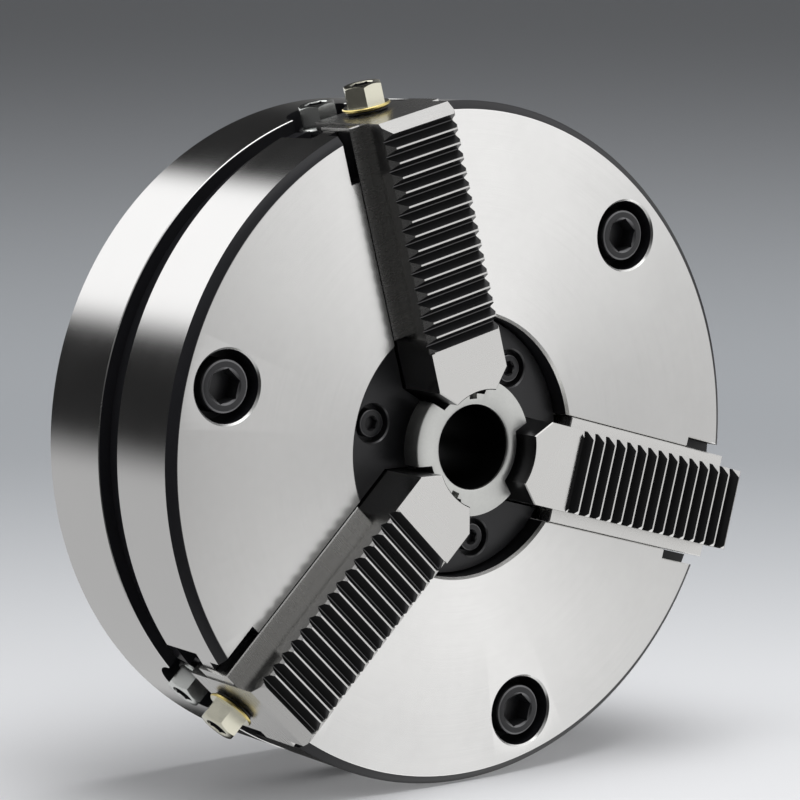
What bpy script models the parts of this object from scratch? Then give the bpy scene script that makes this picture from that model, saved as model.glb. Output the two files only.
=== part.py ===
"""Three-jaw quick-change power chuck, built in metres.

Frame: the origin is the balance point (the centroid), on the spindle axis.
The spindle axis is Y; the working face looks along -Y and +Z is up, so the
chuck stands on its rim the way it is stored.

Everything is laid out in a working frame whose local X/Y plane is the front
face and whose local Z is the distance in front of it. The empty "chuck_axis"
turns that frame into the part's own frame. Three more empties turn it about
the spindle axis to each jaw: local X is then "outwards along the jaw", and
local Y runs across the jaw.
"""
import math

import bmesh
import bpy
from mathutils import Matrix, Vector

MM = 0.001

# ---------------------------------------------------------------- dimensions (mm)
R = 105.0                 # outside radius of the body
HEIGHT = 71.0             # front face to rear mounting face
BALANCE = 34.1            # front face to the balance point
JAW_ANGLES = (104.5, 224.5, 344.5)   # seen from the front, from +X, anticlockwise
SCREW_ANGLE = 60.0        # the body screws sit half way between the jaws

FACE_R = 102.1            # bright face, inside the front chamfer
CHAMFER_Z = 2.2
GROOVE_FRONT = 29.7       # groove round the rim, depth behind the face
GROOVE_REAR = 40.5
GROOVE_R = 101.0
JOINT = 35.0              # plane where the two body halves meet

SLOT_HALF = 17.1          # jaw slot, upper part
LIP_DEPTH = 12.8          # thickness of the slot lips
T_HALF = 22.0             # T-slot under the lips
T_DEPTH = 24.3
RELIEF_D = 88.2           # the lips are cut back outside this radius
RELIEF_HALF = 20.0
RELIEF_DEPTH = 7.0
POCKET_D = 91.0           # open pocket behind the T-slot, at the rim

RECESS_R = 40.7           # central recess
RECESS_DEPTH = 12.9
LUG_R = 24.0              # inner ends of the three lugs the flange is screwed to
CAVITY_R = 47.0           # draw piston cavity

BODY_SCREW_R = 88.4
FLANGE_SCREW_R = 31.0
FLANGE_TOP = 6.4          # front of the centre flange, behind the face

JAW_TOP = 13.0            # crests of the serrations in front of the face
NOSE_TOP = 12.0
RIB_HALF = 12.9
LEDGE_HALF = 16.8
WING_HALF = 21.6
WING_END = 98.0           # the wings stop short of the jaw's end
JAW_END = 105.0
NOSE_ARC = 18.2           # radius of the concave nose, about the spindle axis when closed
NOSE_HALF = 7.4
NOSE_GAP = 1.8            # between a closed jaw's nose and the sleeve
SERR_START = 34.6
SERR_END = 101.6
TEETH = 15
TOOTH_DEPTH = 3.0
TOOTH_BEVELS = (2.2, 1.0)     # along the two edges of the serrations

PISTON_TRAVEL = 10.0          # forwards, from the closed position
BAR_RATIO = 0.8               # tangential travel of a wedge bar per piston travel
JAW_RATIO = 0.4               # radial travel of a jaw per piston travel

BAR_D = (48.5, 72.0)
BAR_N = (-27.0, 27.0)
CAVITY_D = (39.0, 72.3)       # pocket the wedge bar slides in
CAVITY_N = (-31.5, 39.5)
BAR_DEPTH = (24.7, 45.6)
KEY_T = (36.0, 43.0)
KEY_TIP = 41.2
KEY_HALF = 6.0
KEY_MID_N = -4.0
RIDGE_PITCH = 5.5             # along the jaw
RIDGE_FIRST = 52.0
RIDGE_HALF = (1.5, 1.1)       # half thickness at the root and at the top
RIDGE_TOP = 21.3
RIDGE_SLOPE = -JAW_RATIO / BAR_RATIO  # how the oblique teeth lean: along / across

SPINDLE_DEPTH = 41.0          # release spindle axis behind the face
SPINDLE_R = 5.5
BUSH_R = 9.5
PIN_D = 77.0                  # latch pin, distance from the spindle axis
PIN_R = 2.5

ADAPTER_R = 84.0
ADAPTER_T = 62.3
BACK_SCREW_R = 74.0
SPIGOT_R = 53.0

SEG = 72                      # facets of the large turned surfaces
SEG_S = 28                    # facets of the small ones


# ---------------------------------------------------------------- helpers
def clear_scene():
    for obj in list(bpy.data.objects):
        bpy.data.objects.remove(obj, do_unlink=True)
    for mesh in list(bpy.data.meshes):
        bpy.data.meshes.remove(mesh)
    for mat in list(bpy.data.materials):
        bpy.data.materials.remove(mat)


def material(name, colour, rough, metal):
    mat = bpy.data.materials.new(name)
    mat.use_nodes = True
    bsdf = mat.node_tree.nodes["Principled BSDF"]
    bsdf.inputs["Base Color"].default_value = (*colour, 1)
    bsdf.inputs["Roughness"].default_value = rough
    bsdf.inputs["Metallic"].default_value = metal
    mat.diffuse_color = (*colour, 1)
    return mat


def temp(bm):
    """A scratch object holding this bmesh, in millimetres of the working frame."""
    bmesh.ops.remove_doubles(bm, verts=bm.verts, dist=1e-5)
    bmesh.ops.recalc_face_normals(bm, faces=bm.faces)
    mesh = bpy.data.meshes.new("scratch")
    bm.to_mesh(mesh)
    bm.free()
    obj = bpy.data.objects.new("scratch", mesh)
    bpy.context.scene.collection.objects.link(obj)
    return obj


def turned(profile, segments=SEG, centre=(0, 0), phase=0.5):
    """A closed ring or a solid of revolution about local Z. profile is a closed loop of (radius, z)."""
    bm = bmesh.new()
    rings = []
    for r, z in profile:
        if r < 1e-6:
            rings.append([bm.verts.new((centre[0], centre[1], z))])
            continue
        ring = []
        for i in range(segments):
            a = 2 * math.pi * (i + phase) / segments
            ring.append(bm.verts.new((centre[0] + r * math.cos(a), centre[1] + r * math.sin(a), z)))
        rings.append(ring)
    for k, low in enumerate(rings):
        high = rings[(k + 1) % len(rings)]
        if len(low) == 1 and len(high) == 1:
            continue
        for i in range(segments):
            j = (i + 1) % segments
            corners = [low[i % len(low)], low[j % len(low)], high[j % len(high)], high[i % len(high)]]
            unique = []
            for v in corners:
                if v not in unique:
                    unique.append(v)
            bm.faces.new(unique)
    return temp(bm)


def prism(points, z0, z1):
    """A polygon in the local X/Y plane, extruded from z0 to z1."""
    bm = bmesh.new()
    low = [bm.verts.new((x, y, z0)) for x, y in points]
    face = bm.faces.new(low)
    made = bmesh.ops.extrude_face_region(bm, geom=[face])
    bmesh.ops.translate(bm, verts=[v for v in made["geom"] if isinstance(v, bmesh.types.BMVert)],
                        vec=(0, 0, z1 - z0))
    return temp(bm)


def box(x0, x1, y0, y1, z0, z1):
    return prism([(x0, y0), (x1, y0), (x1, y1), (x0, y1)], z0, z1)


def turn_mesh(obj, matrix):
    obj.data.transform(matrix)
    if matrix.determinant() < 0:
        obj.data.flip_normals()
    return obj


def along_x(obj):
    """Local Z becomes local X: for pieces that are turned about a radial axis."""
    return turn_mesh(obj, Matrix(((0, 0, 1, 0), (1, 0, 0, 0), (0, 1, 0, 0), (0, 0, 0, 1))))


def side_prism(points, n0, n1):
    """A polygon in the (outwards, forwards) plane, extruded across the jaw."""
    obj = prism(points, n0, n1)
    return turn_mesh(obj, Matrix(((1, 0, 0, 0), (0, 0, -1, 0), (0, 1, 0, 0), (0, 0, 0, 1))))


def across_prism(points, d0, d1):
    """A polygon in the (across, forwards) plane, extruded along the jaw."""
    return along_x(prism(points, d0, d1))


def ngon(radius, sides, centre=(0, 0), phase=0.0):
    return [(centre[0] + radius * math.cos(2 * math.pi * (i + phase) / sides),
             centre[1] + radius * math.sin(2 * math.pi * (i + phase) / sides)) for i in range(sides)]


def moved(obj, x=0, y=0, z=0):
    return turn_mesh(obj, Matrix.Translation((x, y, z)))


def rotated(obj, degrees):
    return turn_mesh(obj, Matrix.Rotation(math.radians(degrees), 4, "Z"))


def boolean(base, others, operation):
    for other in others:
        mod = base.modifiers.new("cut", "BOOLEAN")
        mod.operation = operation
        mod.solver = "EXACT"
        mod.object = other
        bpy.context.view_layer.update()
        graph = bpy.context.evaluated_depsgraph_get()
        mesh = bpy.data.meshes.new_from_object(base.evaluated_get(graph))
        base.modifiers.clear()
        old = base.data
        base.data = mesh
        bpy.data.meshes.remove(old)
        old = other.data
        bpy.data.objects.remove(other, do_unlink=True)
        bpy.data.meshes.remove(old)
    return base


def cut(base, *others):
    return boolean(base, others, "DIFFERENCE")


def join(base, *others):
    return boolean(base, others, "UNION")


def three(make, *angles):
    """The same cutter at each jaw."""
    return [rotated(make(), a) for a in (angles or JAW_ANGLES)]


def tidy(mesh):
    bm = bmesh.new()
    bm.from_mesh(mesh)
    bmesh.ops.remove_doubles(bm, verts=bm.verts, dist=1e-3)
    bmesh.ops.dissolve_degenerate(bm, edges=bm.edges, dist=1e-3)
    bm.to_mesh(mesh)
    bm.free()


def shade(mesh, angle):
    mesh.shade_smooth()
    mesh.set_sharp_from_angle(angle=math.radians(angle))


def finish(scratch, name, mat, parent, origin=(0, 0, 0), angle=35):
    """Turns a scratch solid into a named piece, in metres, with its origin where asked."""
    mesh = scratch.data
    bpy.data.objects.remove(scratch, do_unlink=True)
    tidy(mesh)
    mesh.transform(Matrix.Translation(-Vector(origin)))
    mesh.transform(Matrix.Scale(MM, 4))
    mesh.name = name
    mesh.materials.clear()
    mesh.materials.append(mat)
    shade(mesh, angle)
    return place(mesh, name, parent, origin)


def place(mesh, name, parent, origin=(0, 0, 0)):
    obj = bpy.data.objects.new(name, mesh)
    bpy.context.scene.collection.objects.link(obj)
    obj.parent = parent
    obj.location = Vector(origin) * MM
    return obj


def empty(name, parent=None):
    obj = bpy.data.objects.new(name, None)
    obj.empty_display_size = 0.02
    bpy.context.scene.collection.objects.link(obj)
    obj.parent = parent
    return obj


def copies(scratch, stem, mat, parents, origin=(0, 0, 0), angle=35):
    """One object per parent, all sharing the first one's mesh."""
    first = finish(scratch, f"{stem}_1", mat, parents[0], origin, angle)
    made = [first]
    for k, parent in enumerate(parents[1:], 2):
        made.append(place(first.data, f"{stem}_{k}", parent, origin))
    return made


def socket_screw(head_r, head_h, shank_r, length, socket_af, socket_depth, segments=SEG_S):
    """A cap screw standing on local Z: head from z = 0 down, shank below it."""
    c = 0.08 * head_r
    body = turned([(0, 0), (head_r - c, 0), (head_r, -c), (head_r, -head_h),
                   (shank_r, -head_h), (shank_r, -head_h - length + 1), (shank_r - 1, -head_h - length),
                   (0, -head_h - length)], segments)
    return cut(body, prism(ngon(socket_af / math.sqrt(3), 6, phase=0.5), -socket_depth, 1))


# ---------------------------------------------------------------- scene and empties
clear_scene()
steel = material("ground_steel", (0.62, 0.62, 0.60), 0.28, 1.0)
black = material("black_oxide", (0.02, 0.02, 0.022), 0.45, 0.6)
zinc = material("silver_zinc", (0.55, 0.57, 0.58), 0.3, 1.0)
yellow = material("yellow_zinc", (0.62, 0.56, 0.30), 0.3, 1.0)
inner = material("machined_steel", (0.42, 0.42, 0.41), 0.4, 1.0)
rubber = material("seal_rubber", (0.02, 0.02, 0.02), 0.6, 0.0)
spring_steel = material("spring_steel", (0.35, 0.35, 0.36), 0.35, 1.0)

root = empty("chuck_axis")
root.location = (0, -BALANCE * MM, 0)
root.rotation_euler = (math.radians(90), 0, 0)
jaw_axes, screw_axes = [], []
for i, a in enumerate(JAW_ANGLES, 1):
    e = empty(f"jaw_axis_{i}", root)
    e.rotation_euler = (0, 0, math.radians(a))
    jaw_axes.append(e)
    e = empty(f"screw_axis_{i}", root)
    e.rotation_euler = (0, 0, math.radians(a + SCREW_ANGLE))
    screw_axes.append(e)
screw_angles = [a + SCREW_ANGLE for a in JAW_ANGLES]

# ---------------------------------------------------------------- front body
front = turned([(RECESS_R + 0.8, 0), (FACE_R, 0), (R, -CHAMFER_Z), (R, -GROOVE_FRONT), (GROOVE_R, -GROOVE_FRONT),
                (GROOVE_R, -JOINT + 0.1), (CAVITY_R, -JOINT + 0.1), (CAVITY_R, -T_DEPTH), (LUG_R, -T_DEPTH),
                (LUG_R, -RECESS_DEPTH), (RECESS_R, -RECESS_DEPTH), (RECESS_R, -0.8)])
cut(front,
    *three(lambda: box(0, R + 6, -SLOT_HALF, SLOT_HALF, -LIP_DEPTH - 2, 2)),
    *three(lambda: box(RELIEF_D, R + 5, -RELIEF_HALF, RELIEF_HALF, -RELIEF_DEPTH, 3)),
    *three(lambda: box(-1, R + 6, -T_HALF, T_HALF, -T_DEPTH - 0.05, -LIP_DEPTH)),
    *three(lambda: box(POCKET_D, R + 7, -T_HALF + 0.02, T_HALF - 0.02, -JOINT - 3, -T_DEPTH + 1)),
    *three(lambda: box(*CAVITY_D, *CAVITY_N, -JOINT - 4, -T_DEPTH)),
    *three(lambda: turned([(0, -JOINT - 2), (4.6, -JOINT - 2), (4.6, -27.0), (PIN_R + 0.4, -27.0),
                           (PIN_R + 0.4, -T_DEPTH + 1), (0, -T_DEPTH + 1)], 14, (PIN_D, 0))),
    *three(lambda: turned([(0, -12.3), (10.9, -12.3), (10.9, -0.5), (11.4, 0), (11.4, 2), (0, 2)], 28, (BODY_SCREW_R, 0)),
           *screw_angles),
    *three(lambda: turned([(0, -JOINT - 1.5), (5.35, -JOINT - 1.5), (5.35, -10), (0, -10)], 16, (BODY_SCREW_R, 0)),
           *screw_angles),
    *three(lambda: turned([(0, -22.5), (2.85, -22.5), (2.85, -11), (0, -11)], 12, (FLANGE_SCREW_R, 0)), *screw_angles),
    *[rotated(turned([(0, -JOINT - 2), (4.3, -JOINT - 2), (4.3, -27.5), (0, -27.5)], 12, (88.4, 0)), a + 18)
      for a in screw_angles[:2]])
finish(front, "front_body", steel, root)

# ---------------------------------------------------------------- rear body
rear = turned([(CAVITY_R, -JOINT - 0.2), (GROOVE_R, -JOINT - 0.2), (GROOVE_R, -GROOVE_REAR), (R, -GROOVE_REAR),
               (R, -HEIGHT + 1.2), (R - 1.2, -HEIGHT), (ADAPTER_R + 0.4, -HEIGHT), (ADAPTER_R + 0.4, -ADAPTER_T + 0.3),
               (38.4, -ADAPTER_T + 0.3), (38.4, -60.9), (41.3, -60.9), (41.3, -58.2), (38.4, -58.2), (38.4, -57.0),
               (CAVITY_R, -57.0)], 60)
cut(rear,
    *three(lambda: box(*CAVITY_D, *CAVITY_N, -46.0, -JOINT + 3)),
    *three(lambda: moved(along_x(turned([(0, 73.4), (SPINDLE_R + 0.4, 73.4), (SPINDLE_R + 0.4, 95), (0, 95)], 16)),
                         z=-SPINDLE_DEPTH)),
    *three(lambda: moved(along_x(turned([(0, 91.5), (BUSH_R + 0.35, 91.5), (BUSH_R + 0.35, R + 6), (0, R + 6)], 24)),
                         z=-SPINDLE_DEPTH)),
    *three(lambda: turned([(0, -41), (4.6, -41), (4.6, -JOINT + 2), (0, -JOINT + 2)], 14, (PIN_D, 0))),
    *three(lambda: turned([(0, -54.5), (5.35, -54.5), (5.35, -JOINT + 2), (0, -JOINT + 2)], 16, (BODY_SCREW_R, 0)),
           *screw_angles),
    *[rotated(turned([(0, -42.8), (4.3, -42.8), (4.3, -JOINT + 2), (0, -JOINT + 2)], 12, (88.4, 0)), a + 18)
      for a in screw_angles[:2]],
    *[rotated(turned([(0, -ADAPTER_T - 1), (4.3, -ADAPTER_T - 1), (4.3, -53.5), (0, -53.5)], 10, (BACK_SCREW_R, 0)),
              JAW_ANGLES[0] + 30 + 60 * k) for k in range(6)])
finish(rear, "rear_body", steel, root)

# ---------------------------------------------------------------- adapter plate and its screws
plate = turned([(38.6, -ADAPTER_T), (ADAPTER_R, -ADAPTER_T), (ADAPTER_R, -HEIGHT), (SPIGOT_R, -HEIGHT),
                (SPIGOT_R - 0.6, -HEIGHT + 5), (38.6, -HEIGHT + 5)], 48)
cut(plate,
    *[rotated(turned([(0, -HEIGHT - 2), (7.0, -HEIGHT - 2), (7.0, -66.6), (0, -66.6)], 16, (BACK_SCREW_R, 0)),
              JAW_ANGLES[0] + 30 + 60 * k) for k in range(6)],
    *[rotated(turned([(0, -67), (4.4, -67), (4.4, -ADAPTER_T + 1), (0, -ADAPTER_T + 1)], 12, (BACK_SCREW_R, 0)),
              JAW_ANGLES[0] + 30 + 60 * k) for k in range(6)],
    *[rotated(turned([(0, -HEIGHT - 2), (6.0, -HEIGHT - 2), (6.0, -ADAPTER_T + 1), (0, -ADAPTER_T + 1)], 14, (66.7, 0)),
              JAW_ANGLES[0] + 60 * k) for k in range(6)])
finish(plate, "adapter_plate", inner, root)

back_screw = socket_screw(6.5, 3.9, 4.0, 12.0, 5.6, 2.6, 16)
turn_mesh(back_screw, Matrix.Translation((BACK_SCREW_R, 0, -70.6)) @ Matrix.Rotation(math.pi, 4, "X"))
back_axes = []
for k in range(6):
    e = empty(f"back_screw_axis_{k + 1}", root)
    e.rotation_euler = (0, 0, math.radians(JAW_ANGLES[0] + 30 + 60 * k))
    back_axes.append(e)
copies(back_screw, "back_screw", black, back_axes)

# ---------------------------------------------------------------- body screws, dowels
body_screw = moved(socket_screw(8.0, 10.3, 5.0, 41.0, 9.4, 6.0, 24), BODY_SCREW_R, 0, -1.4)
copies(body_screw, "body_screw", black, screw_axes)
for k, a in enumerate(screw_angles[:2], 1):
    pin = rotated(turned([(0, -42.4), (3.4, -42.4), (4.0, -41.8), (4.0, -28.5), (3.4, -27.9), (0, -27.9)], 12,
                         (88.4, 0)), a + 18)
    finish(pin, f"body_dowel_{k}", inner, root)

# ---------------------------------------------------------------- centre flange and nose sleeve
SLEEVE_R, TUBE_R, BORE_R = 21.3, 15.2, 12.9
NOTCH_ANGLES = (91.0, 243.0)   # two shallow spanner notches in the sleeve


def nose_plan(grow, far):
    """Plan of a jaw's nose: a concave arc between two cut corners. grow widens it all round."""
    arc = NOSE_ARC - grow
    line = math.sqrt(NOSE_ARC ** 2 - NOSE_HALF ** 2) - NOSE_HALF - grow * math.sqrt(2)
    half = (-line + math.sqrt(2 * arc ** 2 - line ** 2)) / 2
    side = RIB_HALF + (0.6 if grow else 0)
    top = math.asin(half / arc)
    points = [(far, side), (side + line, side)]
    steps = 8
    for i in range(steps + 1):
        a = top - 2 * top * i / steps
        points.append((arc * math.cos(a), arc * math.sin(a)))
    return points + [(side + line, -side), (far, -side)]


sleeve = turned([(BORE_R, -60), (TUBE_R, -60), (TUBE_R, -2.0), (SLEEVE_R, -2.0), (SLEEVE_R, 4.3), (SLEEVE_R - 0.4, 4.7),
                 (BORE_R + 0.8, 4.7), (BORE_R, 3.9)], 48)
cut(sleeve, *three(lambda: prism(nose_plan(NOSE_GAP, 30), -3, 7)))
cut(sleeve, *three(lambda: box(14.8, 17.6, -1.35, 1.35, 2.4, 7), *NOTCH_ANGLES))
finish(sleeve, "nose_sleeve", steel, root)

flange = turned([(15.5, -FLANGE_TOP), (40.3, -FLANGE_TOP), (40.3, -12.6), (15.5, -12.6)], 40)
cut(flange,
    *three(lambda: prism(nose_plan(0.4, 50), -14, 2)),
    *three(lambda: box(38, 50, -LEDGE_HALF - 0.4, LEDGE_HALF + 0.4, -14.5, 2.5)),
    *three(lambda: turned([(0, -10.6), (5.85, -10.6), (5.85, 1), (0, 1)], 24, (FLANGE_SCREW_R, 0)), *screw_angles),
    *three(lambda: turned([(0, -14), (2.85, -14), (2.85, -6), (0, -6)], 16, (FLANGE_SCREW_R, 0)), *screw_angles))
finish(flange, "centre_flange", black, root)
flange_screw = moved(socket_screw(4.3, 3.5, 2.5, 11.0, 4.0, 2.3, 18), FLANGE_SCREW_R, 0, -7.0)
copies(flange_screw, "flange_screw", black, screw_axes)

# ---------------------------------------------------------------- base jaws
pitch = (SERR_END - SERR_START) / TEETH
crest = 0.25
side = [(10, -12.4), (41.5, -12.4), (41.5, -23.6), (JAW_END, -23.6), (JAW_END, JAW_TOP - 3.4), (SERR_END, JAW_TOP)]
for k in range(TEETH):
    outer = SERR_END - k * pitch
    side += [(outer - crest, JAW_TOP) if k else (outer, JAW_TOP), (outer - pitch / 2 + 0.12, JAW_TOP - TOOTH_DEPTH),
             (outer - pitch / 2 - 0.12, JAW_TOP - TOOTH_DEPTH), (outer - pitch + crest, JAW_TOP)]
side += [(SERR_START, NOSE_TOP), (10, NOSE_TOP)]
clean = []
for p in side:
    if not clean or math.dist(p, clean[-1]) > 1e-3:
        clean.append(p)
jaw = prism(nose_plan(0, JAW_END + 5), -26, JAW_TOP + 3)
jaw = boolean(jaw, [side_prism(clean, -30, 30)], "INTERSECT")
for s, edge in zip((1, -1), TOOTH_BEVELS):
    bevel = [(s * (RIB_HALF - edge - 1), JAW_TOP + 1), (s * (RIB_HALF + 1), JAW_TOP - edge - 1),
             (s * (RIB_HALF + 3), JAW_TOP - edge - 1), (s * (RIB_HALF + 3), JAW_TOP + 1)]
    cut(jaw, across_prism(bevel, SERR_START - 0.3, JAW_END + 2))
join(jaw, box(39.0, JAW_END - 0.4, -LEDGE_HALF, LEDGE_HALF, -12.6, 0))
join(jaw, box(41.0, JAW_END - 0.4, -LEDGE_HALF, LEDGE_HALF, -15, -11))
join(jaw, box(41.0, WING_END, -WING_HALF, WING_HALF, -23.9, -13.2))
lean = math.hypot(RIDGE_SLOPE, 1)


def oblique(d0, lower_half, upper_half, z0, z1, n0, n1):
    """A bar of trapezium section that leans across the jaw: d = d0 + slope * n. Widths are square to it."""
    bm = bmesh.new()
    ends = []
    for n in (n0, n1):
        d = d0 + RIDGE_SLOPE * n
        ends.append([bm.verts.new((d + s * h * lean, n, z))
                     for s, h, z in ((-1, lower_half, z0), (1, lower_half, z0), (1, upper_half, z1), (-1, upper_half, z1))])
    bm.faces.new(ends[0])
    bm.faces.new(ends[1])
    for i in range(4):
        j = (i + 1) % 4
        bm.faces.new([ends[0][i], ends[0][j], ends[1][j], ends[1][i]])
    return temp(bm)


ridges = [RIDGE_FIRST + RIDGE_PITCH * k for k in range(-2, 6)]
for d0 in ridges:
    cut(jaw, oblique(d0, RIDGE_HALF[0] + 0.5, RIDGE_HALF[1] + 0.4, -25.0, -RIDGE_TOP + 0.4, -30, 30))
cut(jaw, box(PIN_D - PIN_R - 0.5 - PISTON_TRAVEL * JAW_RATIO, PIN_D + PIN_R + 0.5, -PIN_R - 0.4, PIN_R + 0.4, -26, -20.7))
cut(jaw, moved(along_x(turned([(0, 90), (3.4, 90), (3.4, JAW_END + 2), (0, JAW_END + 2)], 20)), z=-14.0))
base_jaws = copies(jaw, "base_jaw", steel, jaw_axes, angle=20)

# jaw end screws: yellow hex head on a black washer, on the outer end of each jaw
screw = turned([(0, 92.5), (3.0, 92.5), (3.0, 106.3), (7.4, 106.3), (7.4, 106.9), (7.1, 107.2), (0, 107.2)], 20)
head = prism(ngon(11 / math.sqrt(3), 6), 107.0, 113.7)
cone = turned([(0, 106.8), (9.0, 106.8), (9.0, 110.6), (5.6, 113.72), (0, 113.72)], 24)
head = boolean(head, [cone], "INTERSECT")
join(screw, head)
cut(screw, prism(ngon(6 / math.sqrt(3), 6, phase=0.5), 110.6, 115))
copies(moved(along_x(screw), z=-14.0), "jaw_end_screw", yellow, jaw_axes, (105.0, 0, -14.0), 30)
washer = turned([(3.4, 105.3), (6.5, 105.3), (6.5, 106.0), (3.4, 106.0)], 20)
copies(moved(along_x(washer), z=-14.0), "jaw_end_washer", black, jaw_axes, (105.0, 0, -14.0))

# ---------------------------------------------------------------- wedge bars
bar = box(BAR_D[0], BAR_D[1], BAR_N[0], BAR_N[1], -BAR_DEPTH[1], -BAR_DEPTH[0])
ridge_n = (-T_HALF + 0.5, T_HALF - 0.5 - PISTON_TRAVEL * BAR_RATIO)
block = box(BAR_D[0] + 0.3, BAR_D[1] - 0.3, *ridge_n, -BAR_DEPTH[0] - 2, -RIDGE_TOP)
between = [RIDGE_FIRST + RIDGE_PITCH * (k - 0.5) for k in range(-2, 7)]
square = RIDGE_PITCH / lean
for d0 in between:
    cut(block, oblique(d0, square / 2 - RIDGE_HALF[0], square / 2 - RIDGE_HALF[1], -BAR_DEPTH[0] - 0.5, -RIDGE_TOP + 0.2,
                       -40, 40))
join(bar, block)


def slanted(half, t0, t1, d0, d1):
    """A bar that leans across as it goes deeper: the drive key, and the groove it runs in."""
    bm = bmesh.new()
    ends = []
    for d in (d0, d1):
        ring = []
        for t, s in ((t0, -1), (t0, 1), (t1, 1), (t1, -1)):
            n = KEY_MID_N + BAR_RATIO * (t - (KEY_T[0] + KEY_T[1]) / 2) + s * half
            ring.append(bm.verts.new((d, n, -t)))
        ends.append(ring)
    bm.faces.new(ends[0])
    bm.faces.new(ends[1])
    for i in range(4):
        j = (i + 1) % 4
        bm.faces.new([ends[0][i], ends[0][j], ends[1][j], ends[1][i]])
    return temp(bm)


join(bar, slanted(KEY_HALF, KEY_T[0], KEY_T[1], KEY_TIP, BAR_D[0] + 2))
copies(bar, "wedge_bar", inner, jaw_axes, (60.0, 0, -35.0), 20)

# ---------------------------------------------------------------- draw piston and draw nut
piston = turned([(19.5, -34.8), (46.0, -34.8), (46.5, -35.3), (46.5, -55.0), (38.0, -55.0), (38.0, -68.0), (33.4, -68.0),
                 (33.4, -58.0), (19.5, -58.0)], 44)
cut(piston, *three(lambda: slanted(KEY_HALF + 0.4, 30.0, 62.0, KEY_TIP - 0.7, 60)))
finish(piston, "draw_piston", inner, root)
nut = turned([(20.0, -58.4), (33.0, -58.4), (33.0, -67.6), (30.0, -67.6), (30.0, -70.0), (20.0, -70.0)], 32)
cut(nut, *[rotated(box(24, 36, -3, 3, -72, -68.0), JAW_ANGLES[0] + 90 * k) for k in range(4)])
finish(nut, "draw_nut", inner, root)
seal = turned([(38.3, -60.6), (41.0, -60.6), (41.0, -58.5), (38.3, -58.5)], 32)
finish(seal, "piston_seal", rubber, root)

# ---------------------------------------------------------------- release spindles, bushes, latch pins, springs
spindle = turned([(0, 81.7), (SPINDLE_R, 81.7), (SPINDLE_R, 91.6), (SPINDLE_R - 0.5, 91.6), (SPINDLE_R - 0.5, 98.6),
                  (6.9, 98.6), (6.9, 99.9), (6.5, 100.4), (0, 100.4)], 18)
head = prism(ngon(11 / math.sqrt(3), 6), 100.2, 107.2)
cone = turned([(0, 100), (9.0, 100), (9.0, 104.1), (5.6, 107.22), (0, 107.22)], 24)
join(spindle, boolean(head, [cone], "INTERSECT"))
cut(spindle, prism(ngon(6 / math.sqrt(3), 6, phase=0.5), 104.0, 109))
spindle = moved(along_x(spindle), z=-SPINDLE_DEPTH)
cam = moved(along_x(turned([(0, 74.0), (4.0, 74.0), (4.0, 82.5), (0, 82.5)], 14)), z=-SPINDLE_DEPTH + 1.4)
join(spindle, cam)
copies(spindle, "release_spindle", zinc, jaw_axes, (100.0, 0, -SPINDLE_DEPTH), 30)
bush = turned([(SPINDLE_R + 0.1, 91.9), (BUSH_R, 91.9), (BUSH_R, 97.6), (BUSH_R - 0.5, 98.1), (SPINDLE_R + 0.1, 98.1)], 24)
copies(moved(along_x(bush), z=-SPINDLE_DEPTH), "spindle_bush", black, jaw_axes)
pin = turned([(0, -34.7), (4.2, -34.7), (4.2, -33.2), (PIN_R, -33.2), (PIN_R, -21.6), (PIN_R - 0.5, -21.1), (0, -21.1)], 14,
             (PIN_D, 0))
copies(pin, "latch_pin", inner, jaw_axes, (PIN_D, 0, -30.0))

bm = bmesh.new()
WIRE, COIL_R, TURNS, STEPS, AROUND = 0.45, 3.55, 3, 10, 4
rings = []
for i in range(TURNS * STEPS + 1):
    a = 2 * math.pi * i / STEPS
    z = -32.3 + 4.5 * i / (TURNS * STEPS)
    ring = []
    for j in range(AROUND):
        b = 2 * math.pi * j / AROUND
        r = COIL_R + WIRE * math.cos(b)
        ring.append(bm.verts.new((PIN_D + r * math.cos(a), r * math.sin(a), z + WIRE * math.sin(b))))
    rings.append(ring)
for low, high in zip(rings, rings[1:]):
    for j in range(AROUND):
        k = (j + 1) % AROUND
        bm.faces.new([low[j], low[k], high[k], high[j]])
bm.faces.new(rings[0])
bm.faces.new(rings[-1])
copies(temp(bm), "latch_spring", spring_steel, jaw_axes, angle=80)
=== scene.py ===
"""Looks for the three-jaw power chuck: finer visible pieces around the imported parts, materials, studio and camera."""

import math

import bmesh
import bpy
from mathutils import Matrix, Vector


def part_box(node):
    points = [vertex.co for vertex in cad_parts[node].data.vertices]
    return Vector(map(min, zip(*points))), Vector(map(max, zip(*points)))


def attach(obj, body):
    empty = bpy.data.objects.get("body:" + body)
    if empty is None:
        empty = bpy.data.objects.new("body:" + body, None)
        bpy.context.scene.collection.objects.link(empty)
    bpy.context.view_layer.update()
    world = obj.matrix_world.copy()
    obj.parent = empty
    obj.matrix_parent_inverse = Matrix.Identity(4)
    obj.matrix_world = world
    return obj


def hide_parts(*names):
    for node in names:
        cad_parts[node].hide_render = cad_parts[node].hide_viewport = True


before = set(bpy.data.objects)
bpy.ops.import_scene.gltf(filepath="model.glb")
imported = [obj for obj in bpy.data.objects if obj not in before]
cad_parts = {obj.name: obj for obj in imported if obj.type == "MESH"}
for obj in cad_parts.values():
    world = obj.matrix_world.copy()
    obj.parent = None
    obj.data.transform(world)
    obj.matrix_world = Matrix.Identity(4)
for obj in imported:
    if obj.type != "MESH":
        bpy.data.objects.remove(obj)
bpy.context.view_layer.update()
scene = bpy.context.scene
MM = 0.001

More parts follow.
